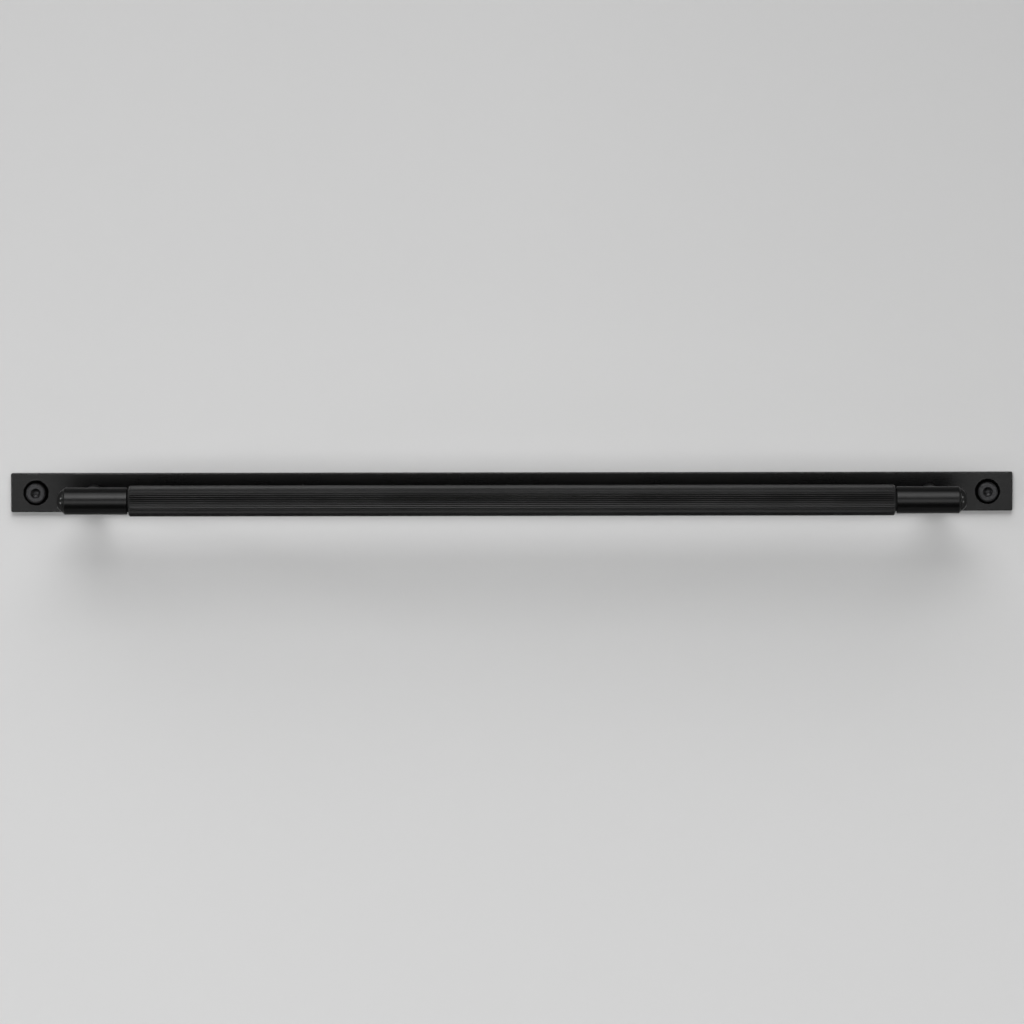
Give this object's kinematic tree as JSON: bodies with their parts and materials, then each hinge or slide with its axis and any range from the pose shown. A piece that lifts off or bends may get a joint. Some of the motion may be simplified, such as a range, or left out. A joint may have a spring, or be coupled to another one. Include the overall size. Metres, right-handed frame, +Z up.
{
  "type": "cabinet handle",
  "caption": "Long bar handle for a drawer or cabinet door: ribbed grip with smooth sleeves, posts and a flat screw-on backplate.",
  "frame": {"origin": "centre of the backplate's back face", "axes": "+X along the handle to the viewer's right, +Y into the drawer front or door, +Z up; the bar stands out towards -Y"},
  "size_m": [0.36, 0.0535, 0.014],
  "materials": {
    "backplate": "satin black",
    "grip": "satin black",
    "sleeve": "semi-gloss black",
    "post": "satin black",
    "end_screw": "gloss black",
    "post_screw": "black oxide",
    "fixing_screw": "black oxide"
  },
  "bodies": {
    "root": {"backplate": "backplate", "grip": "grip", "left_sleeve": "sleeve", "right_sleeve": "sleeve", "left_post": "post", "right_post": "post", "left_end_screw": "end_screw", "right_end_screw": "end_screw", "left_post_screw": "post_screw", "right_post_screw": "post_screw", "left_fixing_screw": "fixing_screw", "right_fixing_screw": "fixing_screw"}
  },
  "joints": []
}
